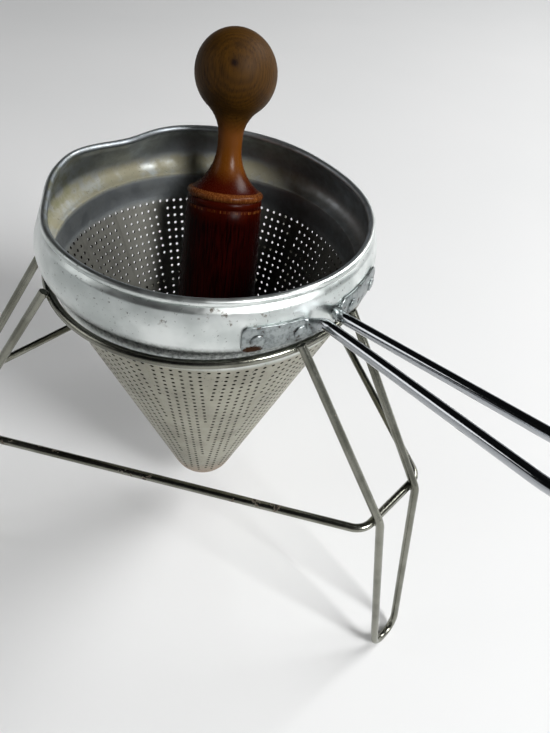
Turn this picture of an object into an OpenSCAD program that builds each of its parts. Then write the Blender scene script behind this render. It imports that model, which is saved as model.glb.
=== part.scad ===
// Cone colander that stands in a wire tripod, with the turned pestle that works it.
// +Z is up, the floor is z = 0 and the origin is under the middle of the tripod's ring.
// The long handle points along +X.

/* [Wire stand] */
// Thickness of the stand's wire
wire_d = 4.4; // [3.5:0.1:5]
// Radius of the ring, to the middle of its wire
ring_r = 84; // [80:0.5:95]
// Height of the ring's wire above the floor
ring_z = 211.5; // [200:0.5:240]
// How far the nearest leg stands round from under the handle, in degrees
leg_turn = 6.4; // [0:0.1:30]
// Distance between a leg's two wires at the ring, middle to middle
leg_top_gap = 36.6; // [24:0.2:46]
// Length of wire that stands past the ring's weld
leg_end_past = 1.2; // [0.5:0.1:1.6]
// Distance between a leg's two wires at the knee, middle to middle
knee_gap = 31; // [22:0.5:40]
// How far out the knees stand from the stand's axis
knee_r = 145; // [132:0.5:155]
// Height of the knees
knee_z = 131.5; // [115:0.1:145]
// Inside bend of a knee, to the middle of the wire
knee_bend_r = 12; // [6:1:20]
// How far out the feet stand from the stand's axis
foot_r = 164.3; // [150:0.1:175]
// Width of a foot between its sharp corners, middle to middle of the wire
foot_gap = 20.8; // [16:0.2:26]
// Depth of the flat that wear has left under each foot
foot_flat = 0.4; // [0.2:0.1:0.8]
// Length of the brace beyond each leg, to its sharp corner
brace_past = 8.1; // [4:0.1:14]
// Bend at the brace's corners, to the middle of the wire
brace_bend_r = 11; // [6:1:14]
// How deep two welded wires sink into each other
weld = 0.4; // [0.2:0.1:0.8]

/* [Sieve] */
// Thickness of the sieve's sheet
wall = 1.2; // [0.8:0.1:1.8]
// Outer radius of the plain band that stands in the ring
band_r = 80; // [77:0.5:80.5]
// Height of the plain band
band_h = 14.9; // [8:0.1:24]
// Angle between the cone's wall and its axis
cone_angle = 20.2; // [19:0.1:23]
// Outer radius of the cone's round tip
tip_r = 22.4; // [8:0.1:24]
// Widest outer radius of the bulged collar
bulge_r = 87; // [86:0.5:92]
// Height of the widest place above the collar's underside
bulge_z = 10.1; // [9:0.1:14]
// Radius of the bulge, seen in section
bulge_arc_r = 30.5; // [24:0.5:50]
// Round under the collar, where it turns in to the band
shoulder_r = 3.5; // [2:0.1:5]
// Height of the rolled rim's middle above the collar's underside
rim_z = 26.4; // [22:0.2:30]
// Thickness of the rolled rim
rim_d = 4.8; // [4:0.1:6]
// How far the sieve leans in its ring, in degrees
lean = 3; // [0:0.5:4]
// Which way it leans, round from the handle, in degrees
lean_towards = 47.9; // [0:0.1:90]
// Clearance between bodies that rest on each other
rest_gap = 0.3; // [0.2:0.05:0.5]

/* [Handle] */
// Thickness of the handle's rod
rod_d = 5.2; // [4:0.1:6]
// Distance of the handle's far end from the collar
handle_length = 140; // [110:1:160]
// Distance between the rods where they leave the collar, middle to middle
neck_gap = 9.4; // [7:0.1:12]
// Widest distance between the rods, middle to middle
loop_gap = 22.4; // [18:0.2:30]
// Distance of the widest place from the handle's far end
loop_wide_back = 26; // [20:1:40]
// Distance between the rods' corners at the far end
end_gap = 20.4; // [18:0.2:24]
// Rise of the handle over its length, in degrees
handle_rise = 7.6; // [0:0.1:12]
// Height of the rods at the collar, above the collar's underside
neck_z = 14.4; // [12:0.1:16]
// Height of the flattened ends
tab_h = 13.6; // [11:0.1:15]
// Thickness of the flattened ends
tab_t = 1.6; // [1.2:0.1:2]
// Angle from the handle's middle to the outer end of a flattened end
tab_angle = 28.5; // [27.5:0.5:32]
// Angle from the handle's middle to the inner rivets
rivet_inner_angle = 10.8; // [10.5:0.1:12]
// Angle from the handle's middle to the outer rivets
rivet_outer_angle = 24; // [20:0.5:24]
// How far round the collar both flattened ends sit off the handle's middle, in degrees
tab_turn = 2.3; // [0:0.1:2.5]

/* [Rivets] */
// Thickness of a rivet's shank
rivet_d = 3.6; // [3:0.1:4]
// Width of a rivet's head
rivet_head_d = 6.8; // [6:0.1:8]
// Height of a rivet's outer head
rivet_head_h = 1.7; // [1.2:0.1:2.2]
// Clearance round a rivet's shank
rivet_gap = 0.05; // [0.02:0.01:0.1]

/* [Pestle] */
// Length of the pestle
pestle_length = 273.5; // [262:0.5:280]
// Radius of the round knob
knob_r = 22.7; // [20:0.1:24]
// Radius of the thin neck
neck_r = 7; // [6:0.1:9]
// Distance from the pestle's top down to the neck's thinnest place
neck_below_top = 60; // [57:0.5:66]
// Radius of the hollow that flares from the neck down to the shoulder
flare_r = 28.9; // [24:0.1:36]
// Radius of the hollow that flares from the neck up to the knob
knob_flare_r = 19; // [10:0.5:21]
// Radius of the bead on the shoulder, outside
shoulder_bead_r = 22.4; // [20.5:0.1:23.4]
// Widest radius of the body
body_r = 24.5; // [23.5:0.1:26]
// Height of the body's widest place above the foot
body_wide_z = 92; // [70:1:110]
// Round at the foot's edge
foot_round = 11; // [6:0.5:16]
// How far the pestle leans from the sieve's axis, in degrees
pestle_lean = 18; // [14:0.1:18.5]
// Where the pestle leans to, as an angle round the sieve from the handle
pestle_towards = 135; // [100:1:170]

/* [Hidden] */
$fn = 72;

STEEL = [0.42, 0.42, 0.38];
CHROME = [0.70, 0.72, 0.74];
ALUMINIUM = [0.78, 0.80, 0.80];
RIVET = [0.66, 0.68, 0.68];
WOOD = [0.40, 0.19, 0.08];

wire_r = wire_d / 2;
// A bend is this much thicker than the straight that runs into it
bend_swell = 0.02;
bend_sink = 0.4;
// Arcs in a turned section are drawn in steps of about this many degrees
arc_step = 7;
// Two welded wires lie this far apart, middle to middle
weld_step = wire_d - weld;

// One leg in its own frame: x runs out from the stand's axis, y across the leg
leg_top_y = leg_top_gap / 2;
knee_y = knee_gap / 2;
foot_y = foot_gap / 2;
// The ring crosses the leg's wire here, nearer the axis than the ring's own radius
ring_x = sqrt(ring_r * ring_r - leg_top_y * leg_top_y);
knee_to_ring = norm([ring_x - knee_r, ring_z - knee_z]);
leg_slope = atan2(ring_z - knee_z, ring_x - knee_r) - asin(weld_step / knee_to_ring);
leg_rise = sqrt(knee_to_ring * knee_to_ring - weld_step * weld_step) + leg_end_past;
leg_top = [knee_r + leg_rise * cos(leg_slope), leg_top_y, knee_z + leg_rise * sin(leg_slope)];
knee = [knee_r, knee_y, knee_z];
foot_corner = [foot_r, foot_y, wire_r - foot_flat];
// The foot's corners leave a short straight between them on the floor
floor_straight = 1.6;
foot_bend_r = (foot_y - floor_straight / 2)
    / tan(turn_angle(knee, foot_corner, mirrored(foot_corner)) / 2);
knee_turn = turn_angle(leg_top, knee, foot_corner);
// The brace lies in the crook of the knees, along the line that halves their bend
crook = knee + unit(unit(leg_top - knee) + unit(foot_corner - knee))
    * (knee_bend_r * (1 / cos(knee_turn / 2) - 1) + weld_step);
brace_y = knee_y + brace_past;

// The sieve's section, in its own frame: z = 0 is the collar's underside
bulge_centre = [bulge_r - bulge_arc_r, bulge_z];
inner_arc_r = bulge_arc_r - wall;
shoulder_angle = -asin((bulge_z - shoulder_r) / (bulge_arc_r - shoulder_r));
shoulder_centre = [bulge_centre.x + (bulge_arc_r - shoulder_r) * cos(shoulder_angle), shoulder_r];
rim_angle = asin((rim_z - bulge_z) / bulge_arc_r);
rim_x = bulge_centre.x + (bulge_arc_r - wall / 2) * cos(rim_angle);
tip_tangent_z = -band_h - (band_r - tip_r * cos(cone_angle)) / tan(cone_angle);
tip_centre = [0, tip_tangent_z + tip_r * sin(cone_angle)];
inner_band_r = band_r - wall;
inner_cone_top_z = -band_h + wall * (1 / cos(cone_angle) - 1) / tan(cone_angle);
// The leaning collar clears the ring's top all round by the rest gap
seat_z = wire_r + (ring_r + wire_r) * sin(lean) + rest_gap;

// The handle, in the sieve's frame
tab_gap = 0.05;
tab_in_r = bulge_r + tab_gap;
rod_x = tab_in_r + rod_d / 2;
handle_end_x = bulge_r + handle_length;
rod_end_x = handle_end_x - rod_d / 2;
wide_x = handle_end_x - loop_wide_back;
rise = tan(handle_rise);
wide_bend_r = 60;
neck_bend_r = 3.2;
rod_neck = [rod_x, neck_gap / 2, neck_z];
rod_wide = [wide_x, loop_gap / 2, neck_z + (wide_x - rod_x) * rise];
rod_end = [rod_end_x, end_gap / 2, neck_z + (rod_end_x - rod_x) * rise];
end_straight = 1.6;
end_bend_r = (end_gap / 2 - end_straight / 2) / tan(turn_angle(rod_wide, rod_end, mirrored(rod_end)) / 2);
// Where the rod's bend at the neck gives way to its taper, out from the handle's middle
taper_y = neck_gap / 2 + neck_bend_r + 0.8;
tab_middle = (rivet_inner_angle + rivet_outer_angle) / 2;
rivets = [
    tab_turn + rivet_inner_angle, tab_turn + rivet_outer_angle,
    tab_turn - rivet_inner_angle, tab_turn - rivet_outer_angle
];

// The pestle's section, from its foot up
knob_centre = [0, pestle_length - knob_r];
neck_z_low = pestle_length - neck_below_top;
neck_centre = [neck_r + flare_r, neck_z_low];
knob_flare_centre = [
    neck_r + knob_flare_r,
    knob_centre.y - sqrt(pow(knob_r + knob_flare_r, 2) - pow(neck_r + knob_flare_r, 2))
];
knob_flare_angle = atan2(knob_centre.y - knob_flare_centre.y, -knob_flare_centre.x);
bead_r = 2;
bead_centre_r = shoulder_bead_r - bead_r;
flare_end_angle = 180 + acos((neck_centre.x - bead_centre_r) / flare_r);
bead_z = neck_z_low + flare_r * sin(flare_end_angle) - bead_r;
body_top = [shoulder_bead_r - 0.5, bead_z - bead_r];
body_arc_r = (pow(body_top.y - body_wide_z, 2) + pow(body_r - body_top.x, 2)) / (2 * (body_r - body_top.x));
body_centre = [body_r - body_arc_r, body_wide_z];
foot_angle = asin((foot_round - body_wide_z) / (body_arc_r - foot_round));
foot_centre = [body_centre.x + (body_arc_r - foot_round) * cos(foot_angle), foot_round];
groove_z = body_top.y - 4;
groove_w = 1.2;
groove_x = body_centre.x + sqrt(pow(body_arc_r, 2) - pow(groove_z - body_wide_z, 2));
body_end = asin((groove_z - groove_w / 2 - body_wide_z) / body_arc_r);
pestle_section = concat(
    [[0, 0]],
    arc(foot_centre, foot_round, -90, foot_angle),
    arc(body_centre, body_arc_r, foot_angle, body_end),
    [[groove_x - groove_w / 2, groove_z], [groove_x, groove_z + groove_w / 2], body_top],
    arc([bead_centre_r, bead_z], bead_r, -60, 90),
    arc(neck_centre, flare_r, flare_end_angle - 1, 180),
    arc(knob_flare_centre, knob_flare_r, 180, knob_flare_angle),
    arc(knob_centre, knob_r, knob_flare_angle - 180 + 2, 90)
);
// It leans with its foot in the cone, so low that its nearest point clears the wall by the rest gap
cone_inside_r = band_r - wall / cos(cone_angle) + band_h * tan(cone_angle);
pestle_x = -sin(pestle_lean) * (foot_round + foot_centre.x * tan(cone_angle));
pestle_z = max([for (p = pestle_section) for (a = [0:5:180]) clear_height(p, a)]);

// The height of the pestle's foot at which one point of it, at one angle round it, clears the cone's wall
function clear_height(p, a) = let (
        x = p.x * cos(a) * cos(pestle_lean) + p.y * sin(pestle_lean) + pestle_x,
        z = p.y * cos(pestle_lean) - p.x * cos(a) * sin(pestle_lean)
    ) (rest_gap / cos(cone_angle) + norm([x, p.x * sin(a)]) - cone_inside_r) / tan(cone_angle) - z;

// A rigid move to a place with three square directions
module place(at, ex, ey, ez) {
    multmatrix([
        [ex.x, ey.x, ez.x, at.x],
        [ex.y, ey.y, ez.y, at.y],
        [ex.z, ey.z, ez.z, at.z],
        [0, 0, 0, 1]
    ]) children();
}

function unit(v) = v / norm(v);
function turn_angle(a, b, c) = acos(unit(b - a) * unit(c - b));
// Distance from a corner to where its bend begins
function bend_reach(a, b, c, r) = r * tan(turn_angle(a, b, c) / 2);
function mirrored(p) = [p.x, -p.y, p.z];
// The points of an arc, from one angle to another
function arc(centre, r, from, to) =
    let (steps = max(6, ceil(abs(to - from) / arc_step)))
        [for (i = [0:steps]) let (a = from + (to - from) * i / steps) centre + r * [cos(a), sin(a)]];
// Any direction square to v
function square_to(v) = unit(abs(v.z) < 0.9 ? cross(v, [0, 0, 1]) : cross(v, [1, 0, 0]));

// A straight round bar between two points, of one thickness or tapered
module bar(a, b, d, end_d = 0) {
    ez = unit(b - a);
    ex = square_to(ez);
    place(a, ex, cross(ez, ex), ez) cylinder(d1 = d, d2 = end_d == 0 ? d : end_d, h = norm(b - a));
}

// The round bend that turns the bar from a-b to b-c
module bend(a, b, c, r, d) {
    u = unit(b - a);
    w = unit(c - b);
    start = b - u * bend_reach(a, b, c, r);
    inward = unit(w - u * (u * w));
    place(start + inward * r, -inward, u, cross(-inward, u))
        rotate_extrude(angle = turn_angle(a, b, c)) translate([r, 0]) circle(d = d + bend_swell * 2);
}

// A bent bar through points, with a bend radius at each inner point
module bent_bar(points, radii, d) {
    last = len(points) - 1;
    reach = [
        for (i = [0:last])
            i == 0 || i == last ? 0
                : bend_reach(points[i - 1], points[i], points[i + 1], radii[i]) - bend_sink
    ];
    for (i = [0:last - 1]) {
        u = unit(points[i + 1] - points[i]);
        bar(points[i] + u * reach[i], points[i + 1] - u * reach[i + 1], d);
    }
    for (i = [1:last - 1]) bend(points[i - 1], points[i], points[i + 1], radii[i], d);
}

// The same for a closed hoop, with one bend radius
module bent_hoop(points, r, d) {
    n = len(points);
    for (i = [0:n - 1]) {
        before = points[(i + n - 1) % n];
        here = points[i];
        after = points[(i + 1) % n];
        beyond = points[(i + 2) % n];
        u = unit(after - here);
        from = here + u * (bend_reach(before, here, after, r) - bend_sink);
        to = after - u * (bend_reach(here, after, beyond, r) - bend_sink);
        bar(from, to, d);
        bend(before, here, after, r, d);
    }
}

module stand_ring() {
    color(STEEL) translate([0, 0, ring_z]) rotate_extrude() translate([ring_r, 0]) circle(d = wire_d);
}

// A hairpin of wire: down from the ring, out to the knee, down to the foot and back
module stand_leg(angle) {
    points = [leg_top, knee, foot_corner, mirrored(foot_corner), mirrored(knee), mirrored(leg_top)];
    radii = [0, knee_bend_r, foot_bend_r, foot_bend_r, knee_bend_r, 0];
    color(STEEL) rotate([0, 0, leg_turn + angle]) difference() {
        bent_bar(points, radii, wire_d);
        translate([0, -foot_gap, -wire_d]) cube([foot_r * 2, foot_gap * 2, wire_d]);
    }
}

// One closed hoop that lies inside the three knees
module stand_brace() {
    corners = [
        for (leg = [0:2], side = [-1, 1])
            let (a = leg_turn + 120 * leg)
                [
                    crook.x * cos(a) - side * brace_y * sin(a),
                    crook.x * sin(a) + side * brace_y * cos(a),
                    crook.z
                ]
    ];
    color(STEEL) bent_hoop(corners, brace_bend_r, wire_d);
}

// Everything that leans with the sieve
module in_sieve() {
    translate([0, 0, ring_z]) rotate([0, 0, lean_towards]) rotate([0, lean, 0])
        rotate([0, 0, -lean_towards]) translate([0, 0, seat_z]) children();
}

module rivet_hole(angle) {
    rotate([0, 0, angle]) translate([bulge_r - rivet_head_d, 0, bulge_z]) rotate([0, 90, 0])
        cylinder(r = rivet_d / 2 + rivet_gap, h = rivet_head_d * 2);
}

// One spun piece of sheet: rolled rim, bulged collar, band, cone and round tip
module sieve_body() {
    outside = concat(
        arc(bulge_centre, bulge_arc_r, rim_angle, shoulder_angle),
        arc(shoulder_centre, shoulder_r, shoulder_angle, -90),
        [[band_r, 0], [band_r, -band_h]],
        arc(tip_centre, tip_r, -cone_angle, -90)
    );
    inside = concat(
        arc(tip_centre, tip_r - wall, -90, -cone_angle),
        [[inner_band_r, inner_cone_top_z], [inner_band_r, wall]],
        arc(shoulder_centre, shoulder_r - wall, -90, shoulder_angle),
        arc(bulge_centre, inner_arc_r, shoulder_angle, rim_angle)
    );
    color(ALUMINIUM) in_sieve() difference() {
        union() {
            rotate_extrude() polygon(concat(outside, inside));
            rotate_extrude() translate([rim_x, rim_z]) circle(d = rim_d);
        }
        for (angle = rivets) rivet_hole(angle);
    }
}

// A flattened end that follows the collar, narrowing to the rod; side is 1 or -1
module handle_tab(side) {
    middle = tab_turn + side * tab_middle;
    end_y = tab_in_r * sin(tab_angle - tab_middle) - tab_h / 2;
    wide_y = -tab_in_r * sin(tab_middle - rivet_inner_angle);
    neck_y = -tab_in_r * sin(tab_middle + side * tab_turn - 4.5);
    half_h = tab_h / 2;
    intersection() {
        rotate_extrude() polygon(concat(
            arc(bulge_centre, bulge_arc_r + tab_gap + tab_t, -35, 35),
            arc(bulge_centre, bulge_arc_r + tab_gap, 35, -35)
        ));
        rotate([0, 0, middle]) scale([1, side, 1]) rotate([90, 0, 90])
            linear_extrude(height = bulge_r * 2) {
                translate([end_y, bulge_z]) circle(r = half_h);
                polygon([
                    [end_y, bulge_z + half_h - 0.2], [end_y, bulge_z - half_h + 0.2],
                    [wide_y, bulge_z - half_h + 0.8], [neck_y, neck_z - rod_d / 2],
                    [neck_y, neck_z + rod_d / 2 - 0.3], [wide_y, bulge_z + half_h - 0.8]
                ]);
            }
    }
}

// The rod's last piece, which thins down on to its flattened end
module rod_taper(side) {
    end_angle = tab_turn * side + rivet_inner_angle - (rivet_head_d / 2 + 1) / tab_in_r * 180 / PI;
    end_r = tab_in_r + tab_t;
    bar(
        [rod_x, side * (taper_y - bend_sink), neck_z],
        [end_r * cos(end_angle), side * end_r * sin(end_angle), neck_z - 0.5],
        rod_d - bend_swell * 4, 2
    );
}

// One rod, bent into a loop, with both ends flattened and riveted on
module handle() {
    ends = [[rod_x, taper_y, neck_z], [rod_x, -taper_y, neck_z]];
    points = [
        ends[0], rod_neck, rod_wide, rod_end, mirrored(rod_end), mirrored(rod_wide), mirrored(rod_neck), ends[1]
    ];
    radii = [0, neck_bend_r, wide_bend_r, end_bend_r, end_bend_r, wide_bend_r, neck_bend_r, 0];
    color(CHROME) in_sieve() difference() {
        union() {
            bent_bar(points, radii, rod_d);
            for (side = [-1, 1]) {
                rod_taper(side);
                handle_tab(side);
            }
        }
        for (angle = rivets) rivet_hole(angle);
    }
}

// A low round head outside, a shank through the flattened end and the collar, and a flat head inside
module handle_rivet(number) {
    head_r = rivet_head_d / 2;
    inner_head_h = rivet_head_h / 2;
    outer_x = tab_in_r + tab_t;
    // The inner head is flat and the wall is hollow there, so its edge is what touches
    inner_x = bulge_r - wall - head_r * head_r / (2 * inner_arc_r) - tab_gap;
    dome_r = (head_r * head_r + rivet_head_h * rivet_head_h) / (2 * rivet_head_h);
    shank_from = inner_x - inner_head_h / 2;
    color(RIVET) in_sieve() rotate([0, 0, rivets[number - 1]]) translate([0, 0, bulge_z])
        rotate([0, 90, 0]) {
            translate([0, 0, inner_x - inner_head_h]) cylinder(r = head_r, h = inner_head_h);
            translate([0, 0, shank_from]) cylinder(d = rivet_d, h = outer_x - shank_from + rivet_head_h / 2);
            intersection() {
                translate([0, 0, outer_x + rivet_head_h - dome_r]) sphere(r = dome_r);
                translate([0, 0, outer_x]) cylinder(r = head_r * 2, h = rivet_head_h * 2);
            }
        }
}

// One turned piece of wood: foot, barrel body with a fine groove, bead, neck and knob
module pestle() {
    color(WOOD) in_sieve() rotate([0, 0, pestle_towards]) translate([pestle_x, 0, pestle_z])
        rotate([0, pestle_lean, 0]) rotate_extrude() polygon(pestle_section);
}

sieve_body();
handle();
handle_rivet(1);  // handle_rivet_1
handle_rivet(2);  // handle_rivet_2
handle_rivet(3);  // handle_rivet_3
handle_rivet(4);  // handle_rivet_4
stand_ring();
stand_leg(0);  // stand_leg_front
stand_leg(120);  // stand_leg_rear
stand_leg(240);  // stand_leg_left
stand_brace();
pestle();
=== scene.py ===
"""Looks of an old cone colander in its wire tripod, with the turned wooden pestle.

Sizes are in millimetres until a mesh is made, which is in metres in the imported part's frame:
+Z up, the floor at 0, the origin under the ring's middle and the handle along +X.
"""

import logging
import math
from collections.abc import Callable, Iterable, Sequence
from dataclasses import dataclass, field
from enum import Enum
from functools import partial
from itertools import accumulate, pairwise

import bmesh
import bpy
from mathutils import Matrix, Vector

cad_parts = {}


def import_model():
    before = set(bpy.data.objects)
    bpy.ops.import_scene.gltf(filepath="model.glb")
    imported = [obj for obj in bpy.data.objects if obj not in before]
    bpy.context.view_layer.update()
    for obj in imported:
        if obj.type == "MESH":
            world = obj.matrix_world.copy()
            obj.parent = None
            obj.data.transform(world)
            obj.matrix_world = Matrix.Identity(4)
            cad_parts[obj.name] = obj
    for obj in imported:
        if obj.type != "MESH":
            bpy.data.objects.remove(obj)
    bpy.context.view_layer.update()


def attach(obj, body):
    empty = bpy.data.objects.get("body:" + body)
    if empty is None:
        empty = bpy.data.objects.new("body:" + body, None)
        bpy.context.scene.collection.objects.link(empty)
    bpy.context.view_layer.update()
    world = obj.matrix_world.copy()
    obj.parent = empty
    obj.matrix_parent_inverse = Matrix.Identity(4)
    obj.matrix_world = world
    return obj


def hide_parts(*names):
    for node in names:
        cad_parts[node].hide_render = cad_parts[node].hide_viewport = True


log = logging.getLogger("colander")

MM = 0.001

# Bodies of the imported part
STAND = "stand"
SIEVE = "sieve"
PESTLE = "pestle"

Point2 = tuple[float, float]
Shape = tuple[list[Vector], list[list[int]]]
Values = dict[str, object]
# Type of the input that takes each type of value in a geometry nodes tree
SOCKETS = {
    float: "NodeSocketFloat",
    int: "NodeSocketInt",
    bpy.types.Material: "NodeSocketMaterial",
    bpy.types.Object: "NodeSocketObject",
}


class Side(Enum):
    """The two flattened ends of the handle, by the side of the collar that they lie on."""

    REAR = 1
    FRONT = -1


class Kind(Enum):
    """Nodes that come up often: the type, a property and what it is set to."""

    NOISE = ("ShaderNodeTexNoise", "noise_dimensions", "3D")
    BUMP = ("ShaderNodeBump", "invert", False)
    LINEAR = ("ShaderNodeMapRange", "interpolation_type", "LINEAR")
    SMOOTH = ("ShaderNodeMapRange", "interpolation_type", "SMOOTHSTEP")
    MIX = ("ShaderNodeMix", "data_type", "RGBA")
    ADD = ("ShaderNodeMath", "operation", "ADD")
    SUBTRACT = ("ShaderNodeMath", "operation", "SUBTRACT")
    MULTIPLY = ("ShaderNodeMath", "operation", "MULTIPLY")
    MULTIPLY_ADD = ("ShaderNodeMath", "operation", "MULTIPLY_ADD")
    DIVIDE = ("ShaderNodeMath", "operation", "DIVIDE")
    MAXIMUM = ("ShaderNodeMath", "operation", "MAXIMUM")
    COMPARE = ("ShaderNodeMath", "operation", "COMPARE")
    SINE = ("ShaderNodeMath", "operation", "SINE")
    COSINE = ("ShaderNodeMath", "operation", "COSINE")
    STRETCH = ("ShaderNodeVectorMath", "operation", "MULTIPLY")
    LENGTH = ("ShaderNodeVectorMath", "operation", "LENGTH")
    DISTANCE = ("ShaderNodeVectorMath", "operation", "DISTANCE")
    DOT = ("ShaderNodeVectorMath", "operation", "DOT_PRODUCT")


# Small helpers


def hex_colour(code: str) -> tuple[float, float, float, float]:
    """Turns an sRGB colour into a linear one.

    Args:
        code: A hash sign and six hex digits.

    Returns:
        Linear red, green and blue, and an alpha of 1.
    """
    parts = [int(code[i : i + 2], 16) / 255 for i in (1, 3, 5)]
    linear = [c / 12.92 if c <= 0.04045 else ((c + 0.055) / 1.055) ** 2.4 for c in parts]
    return (linear[0], linear[1], linear[2], 1.0)


def smoothstep(low: float, high: float, value: float) -> float:
    """Rises from 0 at low to 1 at high, with no corner at either end."""
    t = min(1.0, max(0.0, (value - low) / (high - low)))
    return t * t * (3 - 2 * t)


def arc(centre: Point2, radius: float, start: float, end: float, steps: int) -> list[Point2]:
    """Points along an arc from one angle in degrees to another, ends included."""
    angles = [math.radians(start + (end - start) * i / steps) for i in range(steps + 1)]
    return [(centre[0] + radius * math.cos(a), centre[1] + radius * math.sin(a)) for a in angles]


def circle(radius: float, height: float, count: int) -> list[Vector]:
    """Points of a level circle about the Z axis."""
    angles = (2 * math.pi * k / count for k in range(count))
    return [Vector((radius * math.cos(a), radius * math.sin(a), height)) for a in angles]


def add(tree: bpy.types.NodeTree, kind: Kind | str, *values: object, **settings: object) -> bpy.types.Node:
    """Adds a node, sets it up and links it.

    Args:
        tree: Node tree that gets the node.
        kind: One of the common kinds, or the type of another node.
        *values: What goes into the open inputs in their order, or one dict of them by name. Each is a node,
            an output, a hex colour or a plain value, or a list of nodes for an input that takes several.
        **settings: Properties of the node.

    Returns:
        The new node.
    """
    if isinstance(kind, Kind):
        kind, setting, choice = kind.value
        settings = {setting: choice, **settings}
    node = tree.nodes.new(kind)
    for name, value in settings.items():
        setattr(node, name, value)
    if values and isinstance(values[0], dict):
        pairs = [(node.inputs[name], value) for name, value in values[0].items()]
    else:
        pairs = list(zip([s for s in node.inputs if s.enabled], values))
    for socket, value in pairs:
        for one in value if isinstance(value, list) else [value]:
            if isinstance(one, bpy.types.Node):
                one = next(s for s in one.outputs if s.enabled)
            if isinstance(one, bpy.types.NodeSocket):
                tree.links.new(one, socket)
            elif isinstance(one, str) and one.startswith("#"):
                socket.default_value = hex_colour(one)
            else:
                socket.default_value = one
    return node


def new_object(
    name: str, verts: Sequence, faces: Sequence, place: Matrix | None = None, edges: Sequence = ()
) -> bpy.types.Object:
    """Makes a mesh object at the origin from points in millimetres.

    Args:
        name: Name of the piece.
        verts: Points in millimetres.
        faces: Vertex numbers of each face.
        place: Move applied to the mesh, in metres.
        edges: Vertex numbers of each edge that has no face.

    Returns:
        The object.
    """
    mesh = bpy.data.meshes.new(name)
    mesh.from_pydata([Vector(v) * MM for v in verts], edges, faces)
    if place is not None:
        mesh.transform(place)
    mesh.validate()
    obj = bpy.data.objects.new(name, mesh)
    bpy.context.scene.collection.objects.link(obj)
    return obj


def mark(mesh: bpy.types.Mesh, name: str, domain: str, values: Iterable) -> None:
    """Gives each point or face of a mesh a number or a vector.

    Args:
        mesh: The mesh.
        name: Name of the attribute.
        domain: POINT or FACE.
        values: The numbers or vectors, in the mesh's order.
    """
    values = list(values)
    kind, key = ("FLOAT_VECTOR", "vector") if isinstance(values[0], Vector) else ("FLOAT", "value")
    for one, value in zip(mesh.attributes.new(name, kind, domain).data, values):
        setattr(one, key, value)


def clean(
    obj: bpy.types.Object, sharp: float, merge: float = 0.004,
    joined: bpy.types.Mesh | None = None, bend: Callable | None = None,
) -> None:
    """Merges doubles, turns the faces outwards and shades the mesh.

    Args:
        obj: Mesh object to clean.
        sharp: Edges bent further than this stay sharp, in degrees.
        merge: Distance under which points are one, in millimetres.
        joined: Another mesh that is joined to it.
        bend: Moves the points of the merged mesh.
    """
    work = bmesh.new()
    for mesh in filter(None, (obj.data, joined)):
        work.from_mesh(mesh)
    bmesh.ops.remove_doubles(work, verts=work.verts, dist=merge * MM)
    bmesh.ops.recalc_face_normals(work, faces=work.faces)
    log.info("%s: %d open edges", obj.name, sum(1 for e in work.edges if not e.is_manifold))
    if bend:
        bend(work.verts)
    work.to_mesh(obj.data)
    work.free()
    obj.data.shade_smooth()
    obj.data.set_sharp_from_angle(angle=math.radians(sharp))


def skin(rings: Sequence[Sequence[int]]) -> list[list[int]]:
    """Faces between rings of vertices.

    Args:
        rings: Vertex numbers of each ring; a ring that repeats one number is a pole.

    Returns:
        The faces.
    """
    faces = []
    for low, high in pairwise(rings):
        for k, corner in enumerate(low):
            n = (k + 1) % len(low)
            faces.append(list(dict.fromkeys((corner, low[n], high[n], high[k]))))
    return [f for f in faces if len(f) > 2]


def lathe(profile: Sequence[Point2], steps: int) -> Shape:
    """Turns a profile about the Z axis.

    Args:
        profile: Radius and height of each point; a radius of 0 closes the shape at a pole.
        steps: Points round the axis.

    Returns:
        Points and faces, in millimetres.
    """
    verts: list[Vector] = []
    rings = []
    for radius, height in profile:
        count = steps if radius > 1e-6 else 1
        rings.append([len(verts) + k % count for k in range(steps)])
        verts += circle(radius, height, count)
    return verts, skin(rings)


def rounded_path(corners: Sequence[Vector], radii: Sequence[float], closed: bool, steps: int) -> list[Vector]:
    """Rounds the corners of a bent wire.

    Args:
        corners: Sharp corners of the path.
        radii: Bend radius at each corner; an open path's ends take 0.
        closed: Whether the path joins up.
        steps: Steps in each bend.

    Returns:
        Points along the middle of the wire.
    """
    count = len(corners)
    path: list[Vector] = []
    for i, here in enumerate(corners):
        if not closed and i in (0, count - 1):
            path.append(here.copy())
            continue
        into = (here - corners[i - 1]).normalized()
        out = (corners[(i + 1) % count] - here).normalized()
        turn = into.angle(out)
        inward = (out - into * into.dot(out)).normalized()
        centre = here - into * radii[i] * math.tan(turn / 2) + inward * radii[i]
        for k in range(steps + 1):
            a = turn * k / steps
            path.append(centre - inward * radii[i] * math.cos(a) + into * radii[i] * math.sin(a))
    return path


def densify(path: Sequence[Vector], closed: bool, longest: float) -> list[Vector]:
    """Splits the straights of a path that are too long.

    Args:
        path: Points of the path.
        closed: Whether the path joins up.
        longest: The longest straight that stays whole, in millimetres.

    Returns:
        The points of the path with the new ones between.
    """
    out: list[Vector] = []
    for i in range(len(path) if closed else len(path) - 1):
        a, b = path[i], path[(i + 1) % len(path)]
        pieces = max(1, math.ceil((b - a).length / longest))
        out += [a.lerp(b, k / pieces) for k in range(pieces)]
    return out if closed else out + [path[-1].copy()]


def swept_faces(count: int, sides: int, shift: int | None = None) -> list[list[int]]:
    """Faces of a swept wire.

    Args:
        count: Number of rings.
        sides: Points in each ring.
        shift: How far the last ring is turned against the first, which it joins; None caps the ends instead.

    Returns:
        The faces.
    """
    rings = [list(range(i * sides, (i + 1) * sides)) for i in range(count)]
    if shift is None:
        return skin(rings) + [rings[0][::-1], rings[-1]]
    return skin(rings) + skin([rings[-1][shift:] + rings[-1][:shift], rings[0]])


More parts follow.
